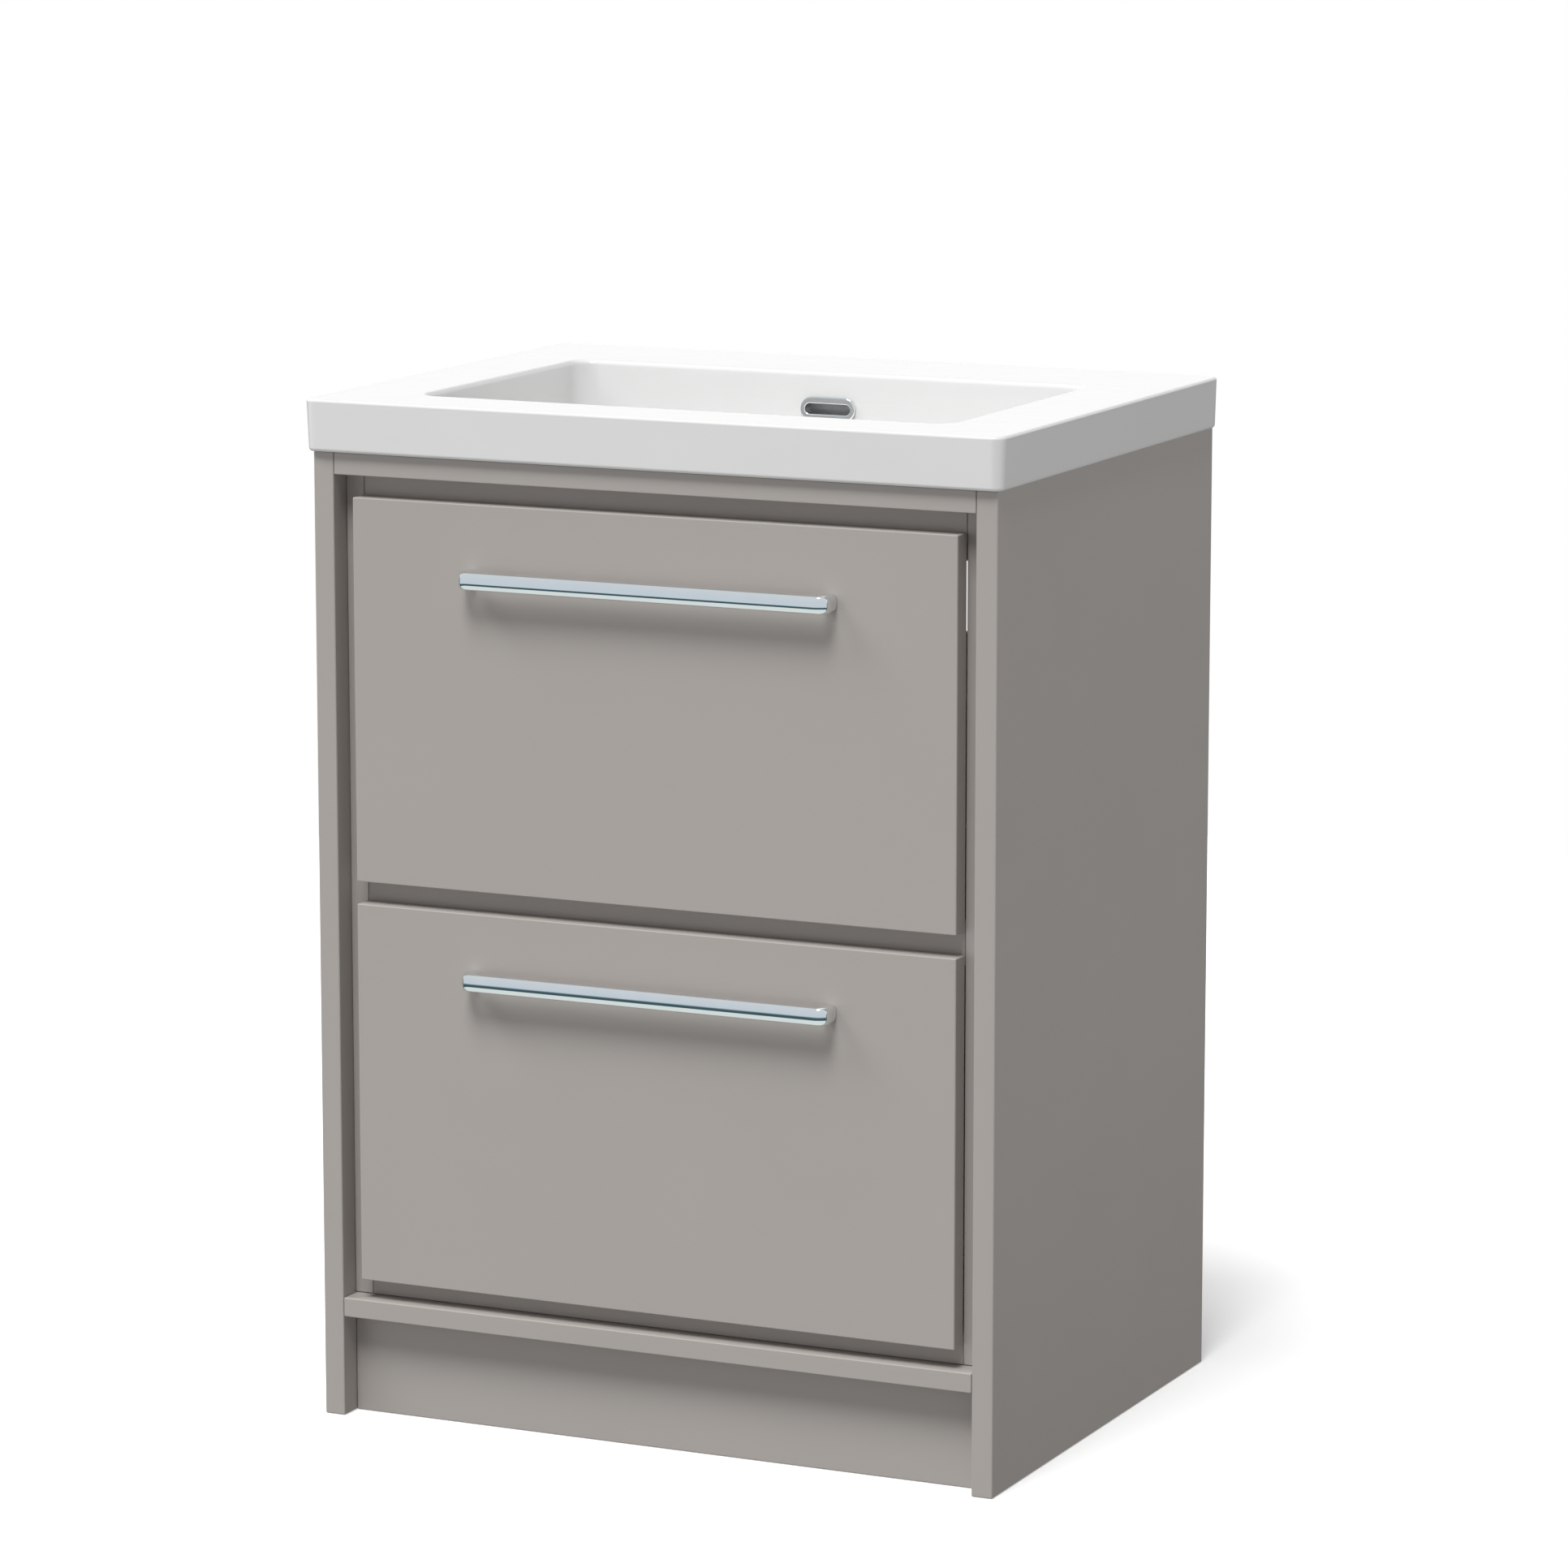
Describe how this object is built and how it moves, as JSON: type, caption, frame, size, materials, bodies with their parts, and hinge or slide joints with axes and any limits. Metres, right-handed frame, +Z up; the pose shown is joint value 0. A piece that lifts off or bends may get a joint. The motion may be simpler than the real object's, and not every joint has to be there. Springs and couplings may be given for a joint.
{
  "type": "bathroom vanity cabinet",
  "caption": "Floor-standing painted bathroom vanity with inset slab drawers, chrome bar handles and a white rectangular basin with an oval overflow.",
  "frame": {"origin": "middle of the footprint of the whole object, on the floor", "axes": "+Z up, +Y towards the wall so that the drawers face -Y, +X to the right seen from the front"},
  "size_m": [0.612, 0.4746, 0.845],
  "materials": {
    "painted_taupe": "satin lacquer on board",
    "drawer_laminate": "matt laminate on board",
    "back_board": "matt faced fibreboard",
    "white_ceramic": "gloss glaze",
    "chrome_plate": "polished",
    "zinc_plated_steel": "satin",
    "grey_plastic": "matt"
  },
  "bodies": {
    "cabinet": {"back_panel": "back_board", "base_panel": "painted_taupe", "basin": "white_ceramic", "carcass_side_left": "painted_taupe", "carcass_side_right": "painted_taupe", "end_panel_left": "painted_taupe", "end_panel_right": "painted_taupe", "frame_rail_bottom": "painted_taupe", "frame_rail_middle": "painted_taupe", "frame_rail_top": "painted_taupe", "lower_runner_cabinet_left": "zinc_plated_steel", "lower_runner_cabinet_right": "zinc_plated_steel", "overflow_trim": "chrome_plate", "plinth_block_left": "grey_plastic", "plinth_block_right": "grey_plastic", "plinth_panel": "painted_taupe", "plinth_rear_rail": "painted_taupe", "top_rail": "painted_taupe", "upper_runner_cabinet_left": "zinc_plated_steel", "upper_runner_cabinet_right": "zinc_plated_steel", "wall_fixing_rail": "painted_taupe"},
    "upper_runner_middles": {"upper_runner_middle_left": "zinc_plated_steel", "upper_runner_middle_right": "zinc_plated_steel"},
    "upper_drawer": {"upper_box_back_left": "drawer_laminate", "upper_box_back_right": "drawer_laminate", "upper_box_bay_front": "drawer_laminate", "upper_box_bay_side_left": "drawer_laminate", "upper_box_bay_side_right": "drawer_laminate", "upper_box_bottom": "drawer_laminate", "upper_box_side_left": "drawer_laminate", "upper_box_side_right": "drawer_laminate", "upper_box_subfront": "drawer_laminate", "upper_drawer_front": "painted_taupe", "upper_handle": "chrome_plate", "upper_handle_screw_left": "zinc_plated_steel", "upper_handle_screw_right": "zinc_plated_steel", "upper_runner_drawer_left": "zinc_plated_steel", "upper_runner_drawer_right": "zinc_plated_steel"},
    "lower_runner_middles": {"lower_runner_middle_left": "zinc_plated_steel", "lower_runner_middle_right": "zinc_plated_steel"},
    "lower_drawer": {"lower_box_back": "drawer_laminate", "lower_box_bottom": "drawer_laminate", "lower_box_side_left": "drawer_laminate", "lower_box_side_right": "drawer_laminate", "lower_box_subfront": "drawer_laminate", "lower_drawer_front": "painted_taupe", "lower_handle": "chrome_plate", "lower_handle_screw_left": "zinc_plated_steel", "lower_handle_screw_right": "zinc_plated_steel", "lower_runner_drawer_left": "zinc_plated_steel", "lower_runner_drawer_right": "zinc_plated_steel"}
  },
  "joints": [
    {"name": "upper_drawer_slide", "type": "slide", "parent": "cabinet", "child": "upper_drawer", "axis": [0, -1, 0], "range_m": [0, 0.35]},
    {"name": "upper_runner_slide", "type": "slide", "parent": "cabinet", "child": "upper_runner_middles", "axis": [0, -1, 0], "range_m": [0, 0.1755]},
    {"name": "lower_drawer_slide", "type": "slide", "parent": "cabinet", "child": "lower_drawer", "axis": [0, -1, 0], "range_m": [0, 0.35]},
    {"name": "lower_runner_slide", "type": "slide", "parent": "cabinet", "child": "lower_runner_middles", "axis": [0, -1, 0], "range_m": [0, 0.1755]}
  ],
  "couplings": [
    {"joint": "upper_runner_slide", "follows": "upper_drawer_slide", "ratio": 0.5},
    {"joint": "lower_runner_slide", "follows": "lower_drawer_slide", "ratio": 0.5}
  ]
}
